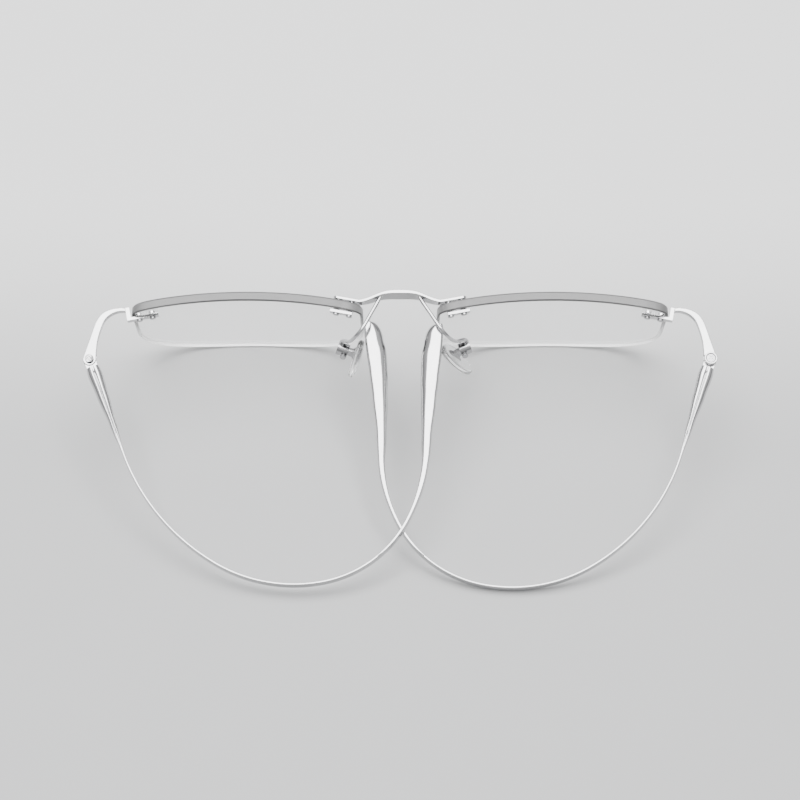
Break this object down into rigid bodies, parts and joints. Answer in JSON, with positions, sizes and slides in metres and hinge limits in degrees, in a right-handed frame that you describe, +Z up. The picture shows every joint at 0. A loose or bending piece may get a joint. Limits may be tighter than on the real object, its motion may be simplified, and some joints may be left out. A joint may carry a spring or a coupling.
{
  "type": "rimless eyeglasses",
  "caption": "Rimless eyeglasses with clear lenses, a bowed metal bridge, clear nose pads and springy temples curled together behind the lenses.",
  "frame": {"origin": "On the floor, under the middle of the glasses' own footprint, as they stand on the lenses' lower edges and the lower curled temple.", "axes": "+X to the wearer's right, from hinge to hinge; +Y forward, out through the lenses; +Z up."},
  "size_m": [0.142, 0.0726, 0.0288],
  "materials": {
    "frame_metal": "polished",
    "lens": "polished, clear",
    "silicone": "smooth, clear",
    "bushing": "clear",
    "screw": "fine turned"
  },
  "bodies": {
    "frame": {"bridge": "frame_metal", "left_endpiece": "frame_metal", "left_hinge_screw": "screw", "left_inner_bracket": "frame_metal", "left_inner_bushings": "bushing", "left_inner_pins": "screw", "left_lens": "lens", "left_outer_bracket": "frame_metal", "left_outer_bushings": "bushing", "left_outer_pins": "screw", "left_pad_arm": "frame_metal", "left_pad_box": "frame_metal", "left_pad_screw": "screw", "right_endpiece": "frame_metal", "right_hinge_screw": "screw", "right_inner_bracket": "frame_metal", "right_inner_bushings": "bushing", "right_inner_pins": "screw", "right_lens": "lens", "right_outer_bracket": "frame_metal", "right_outer_bushings": "bushing", "right_outer_pins": "screw", "right_pad_arm": "frame_metal", "right_pad_box": "frame_metal", "right_pad_screw": "screw"},
    "left_temple": {"left_temple_root": "frame_metal", "left_temple_strip": "frame_metal", "left_temple_tip": "frame_metal"},
    "right_temple": {"right_temple_root": "frame_metal", "right_temple_strip": "frame_metal", "right_temple_tip": "frame_metal"},
    "left_pad": {"left_nose_pad": "silicone"},
    "right_pad": {"right_nose_pad": "silicone"}
  },
  "joints": [
    {"name": "left_fold", "type": "hinge", "parent": "frame", "child": "left_temple", "pos_m": [-0.0695, 0.01358, 0.01965], "axis": [0, 0.3423, -0.9396], "range_deg": [0, 26]},
    {"name": "right_fold", "type": "hinge", "parent": "frame", "child": "right_temple", "pos_m": [0.0695, 0.01358, 0.01965], "axis": [0, -0.3423, 0.9396], "range_deg": [0, 23.5]},
    {"name": "left_pad_rock", "type": "hinge", "parent": "frame", "child": "left_pad", "pos_m": [-0.0124, 0.01987, 0.01556], "axis": [0.2588, 0.9641, -0.0592], "range_deg": [-8, 8]},
    {"name": "right_pad_rock", "type": "hinge", "parent": "frame", "child": "right_pad", "pos_m": [0.0142, 0.02015, 0.01566], "axis": [0.2588, -0.9641, 0.0592], "range_deg": [-8, 8]}
  ]
}
